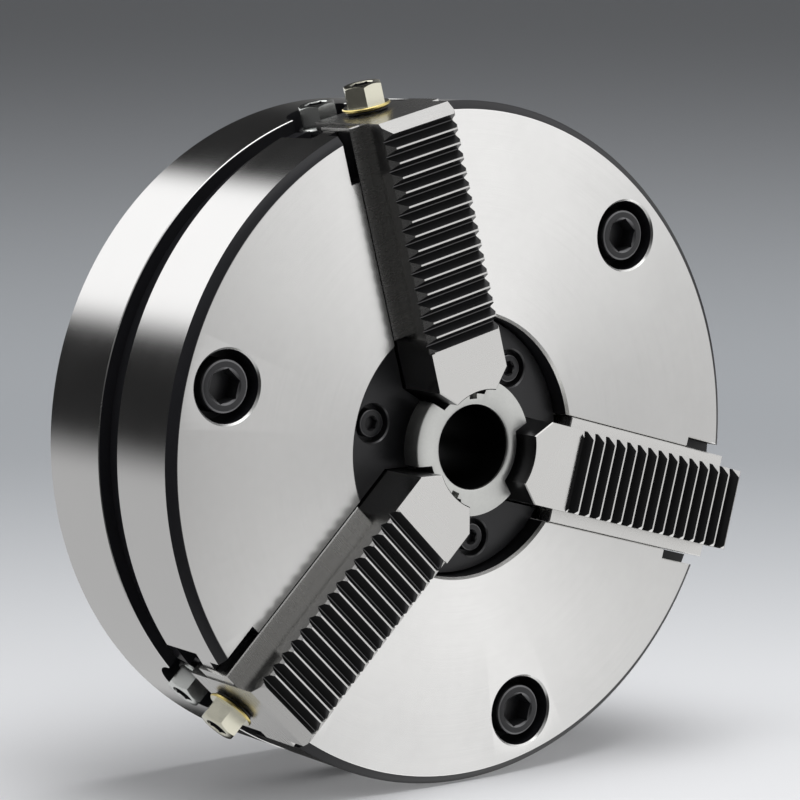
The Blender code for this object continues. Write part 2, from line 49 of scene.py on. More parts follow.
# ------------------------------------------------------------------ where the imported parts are
front_lo, front_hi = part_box("front_body")
rear_lo, rear_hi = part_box("rear_body")
FRONT_Y = front_lo.y                                   # plane of the front face
HEIGHT = round((rear_hi.y - FRONT_Y) / MM, 3)          # 71
R = 105.0
JAW_ANGLES = (104.5, 224.5, 344.5)
SCREW_ANGLES = tuple(a + 60 for a in JAW_ANGLES)

CHAMFER_Z, FACE_R = 2.2, 102.1
GROOVE_FRONT, GROOVE_REAR, GROOVE_R, JOINT = 29.7, 40.5, 101.0, 35.0
SLOT_HALF, LIP_DEPTH, T_HALF, T_DEPTH = 17.1, 12.8, 22.0, 24.3
RELIEF_D, RELIEF_HALF, POCKET_D = 88.2, 20.0, 91.0
RECESS_R, RECESS_DEPTH, LUG_R, CAVITY_R = 40.7, 12.9, 24.0, 47.0
BODY_SCREW_R, FLANGE_SCREW_R, FLANGE_TOP = 88.4, 31.0, 6.4
JAW_TOP, NOSE_TOP, RIB_HALF, LEDGE_HALF, WING_HALF, JAW_END, WING_END = 13.0, 12.0, 12.9, 16.8, 21.6, 105.0, 98.0
NOSE_ARC, NOSE_HALF, NOSE_GAP = 18.2, 7.4, 1.8
SERR_START, SERR_END, TEETH, TOOTH_DEPTH = 34.6, 101.6, 15, 3.0
SPINDLE_DEPTH, SPINDLE_R, BUSH_R, PIN_D, PIN_R = 41.0, 5.5, 9.5, 77.0, 2.5
ADAPTER_R, ADAPTER_T, BACK_SCREW_R, SPIGOT_R = 84.0, 62.3, 74.0, 53.0
CAVITY_D, CAVITY_N = (39.0, 72.3), (-31.5, 39.5)
SLEEVE_R, TUBE_R, BORE_R = 21.3, 15.2, 12.9

AXIS = Matrix.Translation((0, FRONT_Y, 0)) @ Matrix.Rotation(math.radians(90), 4, "X")


def spun(angle=0.0):
    return AXIS @ Matrix.Rotation(math.radians(angle), 4, "Z")


# ------------------------------------------------------------------ mesh helpers (millimetres, local Z forwards)
def temp(bm):
    bmesh.ops.remove_doubles(bm, verts=bm.verts, dist=1e-5)
    bmesh.ops.recalc_face_normals(bm, faces=bm.faces)
    mesh = bpy.data.meshes.new("scratch")
    bm.to_mesh(mesh)
    bm.free()
    obj = bpy.data.objects.new("scratch", mesh)
    scene.collection.objects.link(obj)
    return obj


def turned(profile, segments, centre=(0, 0), phase=0.5):
    bm = bmesh.new()
    rings = []
    for r, z in profile:
        if r < 1e-6:
            rings.append([bm.verts.new((centre[0], centre[1], z))])
            continue
        rings.append([bm.verts.new((centre[0] + r * math.cos(2 * math.pi * (i + phase) / segments),
                                    centre[1] + r * math.sin(2 * math.pi * (i + phase) / segments), z))
                      for i in range(segments)])
    for k, low in enumerate(rings):
        high = rings[(k + 1) % len(rings)]
        if len(low) == 1 and len(high) == 1:
            continue
        for i in range(segments):
            j = (i + 1) % segments
            unique = []
            for v in (low[i % len(low)], low[j % len(low)], high[j % len(high)], high[i % len(high)]):
                if v not in unique:
                    unique.append(v)
            bm.faces.new(unique)
    return temp(bm)


def prism(points, z0, z1):
    bm = bmesh.new()
    face = bm.faces.new([bm.verts.new((x, y, z0)) for x, y in points])
    made = bmesh.ops.extrude_face_region(bm, geom=[face])
    bmesh.ops.translate(bm, verts=[v for v in made["geom"] if isinstance(v, bmesh.types.BMVert)], vec=(0, 0, z1 - z0))
    return temp(bm)


def box(x0, x1, y0, y1, z0, z1):
    return prism([(x0, y0), (x1, y0), (x1, y1), (x0, y1)], z0, z1)


def turn_mesh(obj, matrix):
    obj.data.transform(matrix)
    if matrix.determinant() < 0:
        obj.data.flip_normals()
    return obj


def along_x(obj):
    return turn_mesh(obj, Matrix(((0, 0, 1, 0), (1, 0, 0, 0), (0, 1, 0, 0), (0, 0, 0, 1))))


def side_prism(points, n0, n1):
    return turn_mesh(prism(points, n0, n1), Matrix(((1, 0, 0, 0), (0, 0, -1, 0), (0, 1, 0, 0), (0, 0, 0, 1))))


def across_prism(points, d0, d1):
    return along_x(prism(points, d0, d1))


def ngon(radius, sides, phase=0.0):
    return [(radius * math.cos(2 * math.pi * (i + phase) / sides), radius * math.sin(2 * math.pi * (i + phase) / sides))
            for i in range(sides)]


def moved(obj, x=0, y=0, z=0):
    return turn_mesh(obj, Matrix.Translation((x, y, z)))


def rotated(obj, degrees):
    return turn_mesh(obj, Matrix.Rotation(math.radians(degrees), 4, "Z"))


def boolean(base, others, operation):
    for other in others:
        mod = base.modifiers.new("cut", "BOOLEAN")
        mod.operation = operation
        mod.solver = "EXACT"
        mod.object = other
        bpy.context.view_layer.update()
        mesh = bpy.data.meshes.new_from_object(base.evaluated_get(bpy.context.evaluated_depsgraph_get()))
        base.modifiers.clear()
        old = base.data
        base.data = mesh
        bpy.data.meshes.remove(old)
        old = other.data
        bpy.data.objects.remove(other, do_unlink=True)
        bpy.data.meshes.remove(old)
    return base


def cut(base, *others):
    return boolean(base, others, "DIFFERENCE")


def join(base, *others):
    return boolean(base, others, "UNION")


def three(make, angles=JAW_ANGLES):
    return [rotated(make(), a) for a in angles]


def bevel(obj, width, angle=40, segments=2, keep=None):
    """Rounds the sharp edges. keep(edge, a, b) picks which, from the two ends in millimetres."""
    bm = bmesh.new()
    bm.from_mesh(obj.data)
    bmesh.ops.remove_doubles(bm, verts=bm.verts, dist=1e-4)
    edges = [e for e in bm.edges if len(e.link_faces) == 2 and e.calc_face_angle(0) > math.radians(angle)
             and (keep is None or keep(e, e.verts[0].co, e.verts[1].co))]
    bmesh.ops.bevel(bm, geom=edges, offset=width, offset_type="OFFSET", segments=segments, profile=0.5,
                    affect="EDGES", clamp_overlap=True)
    bm.to_mesh(obj.data)
    bm.free()
    return obj


def piece(scratch, name, body, node, mats, pick=None, angle=0.0, smooth=32):
    """A scratch solid becomes a shown piece that stands for a CAD node. pick(centre, normal) -> material index."""
    mesh = scratch.data
    bpy.data.objects.remove(scratch, do_unlink=True)
    bm = bmesh.new()
    bm.from_mesh(mesh)
    bmesh.ops.remove_doubles(bm, verts=bm.verts, dist=5e-4)
    bmesh.ops.dissolve_degenerate(bm, edges=bm.edges, dist=5e-4)
    bm.normal_update()
    slots = [pick(f.calc_center_median(), f.normal) if pick else 0 for f in bm.faces]
    bm.to_mesh(mesh)
    bm.free()
    mesh.transform(Matrix.Scale(MM, 4))
    mesh.name = name
    mesh.materials.clear()
    for m in mats:
        mesh.materials.append(m)
    mesh.polygons.foreach_set("material_index", slots)
    mesh.shade_smooth()
    mesh.set_sharp_from_angle(angle=math.radians(smooth))
    return show(mesh, name, body, node, angle)


def show(mesh, name, body, node, angle=0.0):
    obj = bpy.data.objects.new(name, mesh)
    scene.collection.objects.link(obj)
    obj.matrix_world = spun(angle)
    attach(obj, body)
    if node:
        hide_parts(node)
    return obj


def copies(first, stem, body, node, angles):
    """More of the same piece at other angles. body and node are patterns with {}."""
    made = [first]
    for k, a in enumerate(angles[1:], 2):
        made.append(show(first.data, f"{stem}_{k}", body.format(k), node.format(k), a))
    return made


# ------------------------------------------------------------------ materials
def new_material(name):
    mat = bpy.data.materials.new(name)
    mat.use_nodes = True
    return mat, mat.node_tree.nodes, mat.node_tree.links, mat.node_tree.nodes["Principled BSDF"]


def metal(name, colour, rough, metallic=1.0, grain="none", grain_scale=1.0, grain_bump=0.15, stain=0.06, stain_scale=45.0,
          rough_var=0.08, aniso=0.0, coat=0.0, spec=0.5, rot=0.25):
    """A metal with stains (colour and roughness) and a machining grain: turned (rings about Z), along X, along Y or none."""
    mat, nodes, links, bsdf = new_material(name)
    coords = nodes.new("ShaderNodeTexCoord")

    def math_node(op, a, b=None, clamp=False):
        n = nodes.new("ShaderNodeMath")
        n.operation = op
        n.use_clamp = clamp
        for i, v in enumerate((a, b)):
            if v is None:
                continue
            if hasattr(v, "links"):
                links.new(v, n.inputs[i])
            else:
                n.inputs[i].default_value = v
        return n.outputs[0]

    def noise_node(vector, scale, detail=4.0, rough_=0.55):
        n = nodes.new("ShaderNodeTexNoise")
        n.inputs["Scale"].default_value = scale
        n.inputs["Detail"].default_value = detail
        n.inputs["Roughness"].default_value = rough_
        links.new(vector, n.inputs["Vector"])
        return n.outputs["Fac"]

    position = coords.outputs["Object"]
    blotch = noise_node(position, stain_scale, 6.0, 0.62)
    specks = noise_node(position, stain_scale * 9, 3.0, 0.6)
    if grain == "turned":
        split = nodes.new("ShaderNodeSeparateXYZ")
        links.new(position, split.inputs[0])
        radius = math_node("SQRT", math_node("ADD", math_node("MULTIPLY", split.outputs[0], split.outputs[0]),
                                             math_node("MULTIPLY", split.outputs[1], split.outputs[1])))
        turn = math_node("ARCTAN2", split.outputs[1], split.outputs[0])
        combine = nodes.new("ShaderNodeCombineXYZ")
        links.new(math_node("MULTIPLY", radius, 2600.0 * grain_scale), combine.inputs[0])
        links.new(math_node("MULTIPLY", turn, 1.6), combine.inputs[1])
        links.new(math_node("MULTIPLY", split.outputs[2], 2600.0 * grain_scale), combine.inputs[2])
        lines = noise_node(combine.outputs[0], 1.0, 2.0, 0.5)
    elif grain in ("x", "y", "z"):
        stretch = nodes.new("ShaderNodeMapping")
        scales = {"x": (70, 2400, 2400), "y": (2400, 70, 2400), "z": (2400, 2400, 70)}[grain]
        stretch.inputs["Scale"].default_value = [s * grain_scale for s in scales]
        links.new(position, stretch.inputs["Vector"])
        lines = noise_node(stretch.outputs[0], 1.0, 2.0, 0.5)
    else:
        lines = noise_node(position, 900.0 * grain_scale, 3.0, 0.6)
    # colour
    shade = math_node("ADD", math_node("MULTIPLY", math_node("SUBTRACT", blotch, 0.5), stain * 2.2),
                      math_node("ADD", math_node("MULTIPLY", math_node("SUBTRACT", lines, 0.5), stain * 0.9),
                                math_node("MULTIPLY", math_node("SUBTRACT", specks, 0.5), stain * 0.6)))
    mix = nodes.new("ShaderNodeMix")
    mix.data_type = "RGBA"
    mix.blend_type = "MULTIPLY"
    mix.inputs[0].default_value = 1.0
    mix.inputs[6].default_value = (*colour, 1)
    grey = nodes.new("ShaderNodeCombineColor")
    level = math_node("ADD", shade, 1.0)
    for i in range(3):
        links.new(level, grey.inputs[i])
    links.new(grey.outputs[0], mix.inputs[7])
    links.new(mix.outputs[2], bsdf.inputs["Base Color"])
    # roughness
    r = math_node("ADD", rough, math_node("ADD", math_node("MULTIPLY", math_node("SUBTRACT", blotch, 0.5), rough_var * 2),
                                          math_node("MULTIPLY", math_node("SUBTRACT", lines, 0.5), rough_var)))
    links.new(math_node("MAXIMUM", r, 0.04), bsdf.inputs["Roughness"])
    bsdf.inputs["Metallic"].default_value = metallic
    bsdf.inputs["Specular IOR Level"].default_value = spec
    bsdf.inputs["Coat Weight"].default_value = coat
    bsdf.inputs["Coat Roughness"].default_value = 0.2
    if aniso:
        tangent = nodes.new("ShaderNodeTangent")
        tangent.direction_type = "RADIAL"
        tangent.axis = "Z"
        bsdf.inputs["Anisotropic"].default_value = aniso
        bsdf.inputs["Anisotropic Rotation"].default_value = rot
        links.new(tangent.outputs[0], bsdf.inputs["Tangent"])
    if grain_bump:
        bump = nodes.new("ShaderNodeBump")
        bump.inputs["Strength"].default_value = grain_bump
        bump.inputs["Distance"].default_value = 0.00004
        links.new(lines, bump.inputs["Height"])
        links.new(bump.outputs[0], bsdf.inputs["Normal"])
    mat.diffuse_color = (*colour, 1)
    return mat


face_steel = metal("face_ground_steel", (0.74, 0.735, 0.72), 0.21, grain="turned", grain_bump=0.06, stain=0.07, stain_scale=34,
                   rough_var=0.03, aniso=0.45)


def painted_reflection_fans(mat, colour, mean, swing, axis):
    """Painted reflection: the two bright and two dark fans that the lights make on a face-turned disc, painted into the
    base colour as one cosine of twice the angle.
    """
    nodes, links = mat.node_tree.nodes, mat.node_tree.links
    mix = nodes["Principled BSDF"].inputs["Base Color"].links[0].from_node
    coords = nodes.new("ShaderNodeTexCoord")
    split = nodes.new("ShaderNodeSeparateXYZ")
    links.new(coords.outputs["Object"], split.inputs[0])

    def step(op, *values):
        n = nodes.new("ShaderNodeMath")
        n.operation = op
        for i, v in enumerate(values):
            if hasattr(v, "links"):
                links.new(v, n.inputs[i])
            else:
                n.inputs[i].default_value = v
        return n.outputs[0]

    angle = step("ARCTAN2", split.outputs[1], split.outputs[0])
    wave = step("COSINE", step("MULTIPLY", step("SUBTRACT", angle, math.radians(axis)), 2.0))
    level = step("MULTIPLY_ADD", wave, swing, mean)
    combine = nodes.new("ShaderNodeCombineColor")
    for i, c in enumerate(colour):
        links.new(step("MULTIPLY", level, c), combine.inputs[i])
    links.new(combine.outputs[0], mix.inputs[6])


# painted reflection fans on the front face: mean level, swing and axis angle of the cosine
painted_reflection_fans(face_steel, (1.0, 0.995, 0.985), 0.66, 0.16, 88)
rim_steel = metal("rim_polished_steel", (0.70, 0.695, 0.69), 0.20, grain="turned", grain_bump=0.12, stain=0.04, stain_scale=30,
                  rough_var=0.06, aniso=0.55)
# edge chamfers: a lighter steel than the rim, a painted highlight along the edges
chamfer_painted_highlight_steel = metal("chamfer_painted_highlight", (0.82, 0.82, 0.81), 0.25, grain="none", grain_bump=0.05, stain=0.04)
# slot walls and other recessed faces: a dark steel, painted shade in the slots
slot_painted_shade_metal = metal("slot_painted_shade", (0.16, 0.16, 0.165), 0.34, grain="x", grain_bump=0.04, stain=0.05)
jaw_top = metal("jaw_ground_steel", (0.60, 0.595, 0.585), 0.27, grain="y", grain_scale=0.7, grain_bump=0.02, stain=0.04,
                stain_scale=60, rough_var=0.05)
jaw_side = metal("jaw_side_steel", (0.60, 0.595, 0.58), 0.20, grain="x", grain_scale=0.7, grain_bump=0.0, stain=0.015,
                 stain_scale=30, rough_var=0.03)
# tooth flanks and groove floors: near black, painted shade between the teeth
flank_painted_shade_metal = metal("jaw_tooth_flank", (0.085, 0.085, 0.087), 0.30, grain="y", grain_scale=0.6, grain_bump=0.06, stain=0.06,
                  stain_scale=120)
black = metal("black_satin", (0.012, 0.012, 0.014), 0.32, metallic=0.0, grain="turned", grain_scale=0.5, grain_bump=0.05,
              stain=0.15, spec=0.30)
black_part = metal("black_oxide_part", (0.022, 0.022, 0.024), 0.36, metallic=0.35, grain_bump=0.10, stain=0.2,
                   stain_scale=160, rough_var=0.12)
black_worn = metal("black_oxide_worn", (0.16, 0.16, 0.165), 0.34, metallic=0.9, grain_bump=0.10, stain=0.25, stain_scale=220,
                   rough_var=0.12)
sleeve_steel = metal("sleeve_matt_steel", (0.57, 0.575, 0.56), 0.36, grain="none", grain_scale=0.4, grain_bump=0.05,
                     stain=0.14, stain_scale=160, rough_var=0.10)
bore_dark = metal("bore_dark_steel", (0.045, 0.045, 0.047), 0.38, grain="turned", grain_bump=0.15, stain=0.2)
zinc = metal("silver_zinc", (0.80, 0.82, 0.80), 0.22, grain_bump=0.04, grain_scale=0.8, stain=0.06, stain_scale=120,
             rough_var=0.06)
yellow = metal("yellow_zinc", (0.74, 0.72, 0.60), 0.22, grain_bump=0.04, grain_scale=0.8, stain=0.08, stain_scale=120,
               rough_var=0.06)
yellow_ring = metal("yellow_zinc_ring", (0.80, 0.66, 0.26), 0.25, grain_bump=0.10, stain=0.14, stain_scale=150)
machined = metal("machined_steel", (0.50, 0.495, 0.48), 0.32, grain="turned", grain_bump=0.15, stain=0.07, stain_scale=50,
                 aniso=0.3)
spring_mat = metal("spring_wire", (0.36, 0.36, 0.37), 0.3, grain_bump=0.05)
rubber = metal("seal_rubber", (0.02, 0.02, 0.02), 0.6, metallic=0.0, grain_bump=0.05)

# ------------------------------------------------------------------ front body
BIG, MID, SMALL = 288, 96, 48


def slot_cutter(half, d0, d1, depth, lip):
    return across_prism([(-half, -depth), (half, -depth), (half, -lip), (half + lip + 2, 2), (-half - lip - 2, 2), (-half, -lip)],
                        d0, d1)


front = turned([(RECESS_R + 0.8, 0), (FACE_R, 0), (FACE_R + 0.25, -0.06), (R - 0.1, -CHAMFER_Z + 0.03), (R, -CHAMFER_Z - 0.12),
                (R, -GROOVE_FRONT + 0.25), (R - 0.25, -GROOVE_FRONT), (GROOVE_R, -GROOVE_FRONT), (GROOVE_R, -JOINT + 0.1),
                (CAVITY_R, -JOINT + 0.1), (CAVITY_R, -T_DEPTH), (LUG_R, -T_DEPTH), (LUG_R, -RECESS_DEPTH),
                (RECESS_R, -RECESS_DEPTH), (RECESS_R, -0.8)], BIG)
cut(front,
    *three(lambda: slot_cutter(SLOT_HALF, 0, R + 6, LIP_DEPTH + 2, 0.3)),
    *three(lambda: slot_cutter(RELIEF_HALF, RELIEF_D, R + 5, 7.0, 0.3)),
    *three(lambda: box(-1, R + 6, -T_HALF, T_HALF, -T_DEPTH - 0.05, -LIP_DEPTH)),
    *three(lambda: box(POCKET_D, R + 7, -T_HALF + 0.02, T_HALF - 0.02, -JOINT - 3, -T_DEPTH + 1)),
    *three(lambda: box(*CAVITY_D, *CAVITY_N, -JOINT - 4, -T_DEPTH)),
    *three(lambda: turned([(0, -JOINT - 2), (4.6, -JOINT - 2), (4.6, -27.0), (PIN_R + 0.4, -27.0), (PIN_R + 0.4, -T_DEPTH + 1),
                           (0, -T_DEPTH + 1)], 32, (PIN_D, 0))),
    *three(lambda: turned([(0, -12.3), (10.9, -12.3), (10.9, -0.6), (11.5, 0), (11.5, 2), (0, 2)], MID, (BODY_SCREW_R, 0)),
           SCREW_ANGLES),
    *three(lambda: turned([(0, -JOINT - 1.5), (5.35, -JOINT - 1.5), (5.35, -10), (0, -10)], 32, (BODY_SCREW_R, 0)), SCREW_ANGLES),
    *three(lambda: turned([(0, -22.5), (2.85, -22.5), (2.85, -11), (0, -11)], 24, (FLANGE_SCREW_R, 0)), SCREW_ANGLES))


def jaw_polar(c):
    """(d, n) of a point in the frame of its nearest jaw."""
    a = math.degrees(math.atan2(c.y, c.x))
    r = math.hypot(c.x, c.y)
    off = min(((a - j + 180) % 360 - 180 for j in JAW_ANGLES), key=abs)
    return r * math.cos(math.radians(off)), r * math.sin(math.radians(off))


def front_pick(c, n):
    r = math.hypot(c.x, c.y)
    if n.z > 0.95 and c.z > -0.3:
        return 0
    radial = (n.x * c.x + n.y * c.y) / max(r, 1e-6)
    if r > 101.5 and radial > 0.2 and c.z > -CHAMFER_Z:
        return 2
    if r > 104.5 and radial > 0.9:
        return 1
    # index 4 is the painted highlight steel on the edge chamfers
    if r > 104.6 and c.z < -GROOVE_FRONT + 0.3:
        return 4
    if c.z > -0.75 and n.z > 0.3:
        return 4
    d, across = jaw_polar(c)
    # index 3 is painted shade on the slot walls
    if c.z > -LIP_DEPTH - 0.1 and abs(abs(across) - SLOT_HALF) < 0.2 and r > 38:
        return 3
    if r > 103 and abs(radial) < 0.3 and c.z > -LIP_DEPTH:
        return 3
    return 5


piece(front, "front_body_shell", "chuck_body", "front_body", [face_steel, rim_steel, black, slot_painted_shade_metal, chamfer_painted_highlight_steel, black], front_pick)

# ------------------------------------------------------------------ rear body
rear = turned([(CAVITY_R, -JOINT - 0.2), (GROOVE_R, -JOINT - 0.2), (GROOVE_R, -GROOVE_REAR), (R - 0.25, -GROOVE_REAR),
               (R, -GROOVE_REAR - 0.25), (R, -HEIGHT + 1.2), (R - 1.2, -HEIGHT), (ADAPTER_R + 0.4, -HEIGHT),
               (ADAPTER_R + 0.4, -ADAPTER_T + 0.3), (38.4, -ADAPTER_T + 0.3), (38.4, -60.9), (41.3, -60.9), (41.3, -58.2),
               (38.4, -58.2), (38.4, -57.0), (CAVITY_R, -57.0)], BIG)
cut(rear,
    *three(lambda: box(*CAVITY_D, *CAVITY_N, -46.0, -JOINT + 3)),
    *three(lambda: moved(along_x(turned([(0, 73.4), (SPINDLE_R + 0.4, 73.4), (SPINDLE_R + 0.4, 95), (0, 95)], 40)),
                         z=-SPINDLE_DEPTH)),
    *three(lambda: moved(along_x(turned([(0, 91.5), (BUSH_R + 0.35, 91.5), (BUSH_R + 0.35, R + 6), (0, R + 6)], MID)),
                         z=-SPINDLE_DEPTH)),
    *three(lambda: turned([(0, -41), (4.6, -41), (4.6, -JOINT + 2), (0, -JOINT + 2)], 24, (PIN_D, 0))))


def rear_pick(c, n):
    r = math.hypot(c.x, c.y)
    radial = (n.x * c.x + n.y * c.y) / max(r, 1e-6)
    if r > 103.5 and radial > 0.9:
        return 0
    # index 1 is the painted highlight steel on the chamfers
    if r > 103.5 and (c.z < -HEIGHT + 1.3 and n.z < -0.3 or abs(c.z + GROOVE_REAR) < 0.3 and n.z > 0.3 and radial > 0.3):
        return 1
    if n.z < -0.95 and c.z < -HEIGHT + 0.1:
        return 2
    return 3


piece(rear, "rear_body_shell", "chuck_body", "rear_body", [rim_steel, chamfer_painted_highlight_steel, machined, black], rear_pick)

# ------------------------------------------------------------------ centre: sleeve and flange


def nose_plan(grow, far, steps=20):
    arc = NOSE_ARC - grow
    line = math.sqrt(NOSE_ARC ** 2 - NOSE_HALF ** 2) - NOSE_HALF - grow * math.sqrt(2)
    half = (-line + math.sqrt(2 * arc ** 2 - line ** 2)) / 2
    side = RIB_HALF + (0.6 if grow else 0)
    top = math.asin(half / arc)
    points = [(far, side), (side + line, side)]
    for i in range(steps + 1):
        a = top - 2 * top * i / steps
        points.append((arc * math.cos(a), arc * math.sin(a)))
    return points + [(side + line, -side), (far, -side)]


sleeve = turned([(BORE_R, -60), (TUBE_R, -60), (TUBE_R, -2.0), (SLEEVE_R, -2.0), (SLEEVE_R, 4.3), (SLEEVE_R - 0.12, 4.58),
                 (SLEEVE_R - 0.4, 4.7), (BORE_R + 0.8, 4.7), (BORE_R + 0.25, 4.45), (BORE_R, 3.9)], 192)
cut(sleeve, *three(lambda: prism(nose_plan(NOSE_GAP, 30), -3, 7)))
cut(sleeve, *three(lambda: box(14.8, 17.6, -1.35, 1.35, 2.4, 7), (91.0, 243.0)))


def sleeve_pick(c, n):
    r = math.hypot(c.x, c.y)
    if r < BORE_R + 0.3 and c.z < 3.5:
        return 1
    return 0


bevel(sleeve, 0.35, 50, 3, lambda e, a, b: min(a.z, b.z) > -1.9 and min(math.hypot(a.x, a.y), math.hypot(b.x, b.y)) > 14.0
      and not (abs(a.z - 2.4) < 0.01 or abs(b.z - 2.4) < 0.01))
piece(sleeve, "nose_sleeve_fine", "chuck_body", "nose_sleeve", [sleeve_steel, bore_dark], sleeve_pick, smooth=40)

flange = turned([(15.5, -FLANGE_TOP - 0.3), (15.8, -FLANGE_TOP), (40.0, -FLANGE_TOP), (40.3, -FLANGE_TOP - 0.3), (40.3, -12.6),
                 (15.5, -12.6)], 160)
cut(flange,
    *three(lambda: prism(nose_plan(0.4, 50), -14, 2)),
    *three(lambda: box(38, 50, -LEDGE_HALF - 0.4, LEDGE_HALF + 0.4, -14.5, 2.5)),
    *three(lambda: turned([(0, -10.6), (5.85, -10.6), (5.85, -FLANGE_TOP - 0.4), (6.3, -FLANGE_TOP), (6.3, 1), (0, 1)], 64,
                          (FLANGE_SCREW_R, 0)), SCREW_ANGLES),
    *three(lambda: turned([(0, -14), (2.85, -14), (2.85, -6), (0, -6)], 32, (FLANGE_SCREW_R, 0)), SCREW_ANGLES))
piece(flange, "centre_flange_fine", "chuck_body", "centre_flange", [black_part, black_worn],
      lambda c, n: 1 if n.z > 0.3 and n.z < 0.95 and c.z > -FLANGE_TOP - 0.45 else 0)


# ------------------------------------------------------------------ screws
def hex_socket(af, depth, mouth, segments=6):
    """A hexagon socket prism from -depth up to mouth."""
    return prism(ngon(af / math.sqrt(3), 6, 0.5), -depth, mouth)


def socket_screw(head_r, head_h, shank_r, length, af, depth, segments):
    c = 0.09 * head_r
    body = turned([(0, 0), (head_r - c, 0), (head_r - 0.3 * c, -0.3 * c), (head_r, -c), (head_r, -head_h + 0.2),
                   (head_r - 0.2, -head_h), (shank_r, -head_h), (shank_r, -head_h - length + 1),
                   (shank_r - 1, -head_h - length), (0, -head_h - length)], segments)
    cut(body, hex_socket(af, depth, 1))
    # the cone at the socket's mouth
    cut(body, turned([(0, -0.45), (af * 0.53, -0.45), (af * 0.60, 0.02), (af * 0.60, 0.5), (0, 0.5)], segments))
    return body


def screw_pick(head_r, top=0.0):
    def pick(c, n):
        if 0.3 < n.z < 0.97 and c.z > top - 0.2 * head_r:
            return 1
        return 0
    return pick


head = moved(socket_screw(8.0, 10.3, 5.0, 41.0, 9.4, 6.0, MID), BODY_SCREW_R, 0, -1.4)
first = piece(head, "body_screw_fine_1", "chuck_body", "body_screw_1", [black_part, black_worn], screw_pick(8.0, -1.4),
              SCREW_ANGLES[0])
copies(first, "body_screw_fine", "chuck_body", "body_screw_{}", SCREW_ANGLES)
head = moved(socket_screw(4.3, 3.5, 2.5, 11.0, 4.0, 2.3, 64), FLANGE_SCREW_R, 0, -7.0)
first = piece(head, "flange_screw_fine_1", "chuck_body", "flange_screw_1", [black_part, black_worn], screw_pick(4.3, -7.0),
              SCREW_ANGLES[0])
copies(first, "flange_screw_fine", "chuck_body", "flange_screw_{}", SCREW_ANGLES)

# ------------------------------------------------------------------ base jaws
pitch = (SERR_END - SERR_START) / TEETH
crest = 0.26
side = [(10, -12.4), (41.5, -12.4), (41.5, -23.6), (JAW_END, -23.6), (JAW_END, JAW_TOP - 3.4), (SERR_END, JAW_TOP)]
for k in range(TEETH):
    outer = SERR_END - k * pitch
    if k:
        side.append((outer - crest, JAW_TOP))
    side += [(outer - pitch / 2 + 0.12, JAW_TOP - TOOTH_DEPTH), (outer - pitch / 2 - 0.12, JAW_TOP - TOOTH_DEPTH),
             (outer - pitch + crest, JAW_TOP)]
side += [(SERR_START, NOSE_TOP), (10, NOSE_TOP)]
jaw = prism(nose_plan(0, JAW_END + 5, 32), -26, NOSE_TOP)
# the nose's top edge is broken with a small chamfer
bevel(jaw, 0.3, 60, 1, lambda e, a, b: a.z > NOSE_TOP - 0.1 and b.z > NOSE_TOP - 0.1 and min(a.x, b.x) < 60
      and not (abs(a.y) > 12 and abs(b.y) > 12))
tower = box(SERR_START, JAW_END + 4, -RIB_HALF, RIB_HALF, NOSE_TOP - 5, JAW_TOP + 3)
join(jaw, tower)
jaw = boolean(jaw, [side_prism(side, -30, 30)], "INTERSECT")
for s, edge in ((1, 2.2), (-1, 1.0)):
    cut(jaw, across_prism([(s * (RIB_HALF - edge - 1), JAW_TOP + 1), (s * (RIB_HALF + 1), JAW_TOP - edge - 1),
                           (s * (RIB_HALF + 3), JAW_TOP - edge - 1), (s * (RIB_HALF + 3), JAW_TOP + 1)],
                          SERR_START - 0.3, JAW_END + 2))
ledge = prism([(39.0, -LEDGE_HALF), (JAW_END - 0.4, -LEDGE_HALF), (JAW_END - 0.4, LEDGE_HALF), (39.0, LEDGE_HALF)], -15, 0)
bevel(ledge, 0.3, 60, 1, lambda e, a, b: a.z > -0.1 and b.z > -0.1)
join(jaw, ledge)
cut(jaw, box(38.0, 41.0, -20, 20, -30, -12.6))
join(jaw, box(41.0, WING_END, -WING_HALF, WING_HALF, -23.9, -13.2))
cut(jaw, moved(along_x(turned([(0, 90), (3.4, 90), (3.4, JAW_END + 2), (0, JAW_END + 2)], 32)), z=-14.0))


def jaw_pick(c, n):
    if abs(n.y) > 0.9:
        return 1
    # index 2 is painted shade on the tooth flanks and groove floors
    if c.z > JAW_TOP - TOOTH_DEPTH - 0.1 and n.z < 0.9 and abs(n.x) > 0.4 and abs(n.y) < 0.3 and c.x < SERR_END - 0.1:
        return 2
    if abs(c.z - JAW_TOP + TOOTH_DEPTH) < 0.05 and SERR_START < c.x < SERR_END - 0.5:
        return 2
    # index 3 is painted shade on the nose's inner wall
    if c.z < NOSE_TOP - 0.5 and c.x < 26 and n.x < -0.1:
        return 3
    return 0


first = piece(jaw, "base_jaw_fine_1", "jaw_1", "base_jaw_1", [jaw_top, jaw_side, flank_painted_shade_metal, slot_painted_shade_metal], jaw_pick, JAW_ANGLES[0],
              smooth=20)
copies(first, "base_jaw_fine", "jaw_{}", "base_jaw_{}", JAW_ANGLES)


# ------------------------------------------------------------------ hexagon heads on the rim
def hex_head(af, low, high, socket_af, socket_depth):
    head = prism(ngon(af / math.sqrt(3), 6), low, high)
    rise = (af / math.sqrt(3) - af / 2 * 0.96) * 0.62
    cone = turned([(0, low - 0.2), (af, low - 0.2), (af, high - rise - (af - af / math.sqrt(3)) * 0.62), (af / 2 * 0.96, high + 0.01),
                   (0, high + 0.01)], 72)
    boolean(head, [cone], "INTERSECT")
    cut(head, prism(ngon(socket_af / math.sqrt(3), 6, 0.5), high - socket_depth, high + 2))
    cut(head, turned([(0, high - 0.35), (socket_af * 0.52, high - 0.35), (socket_af * 0.60, high + 0.02),
                      (socket_af * 0.60, high + 0.5), (0, high + 0.5)], 48))
    return head


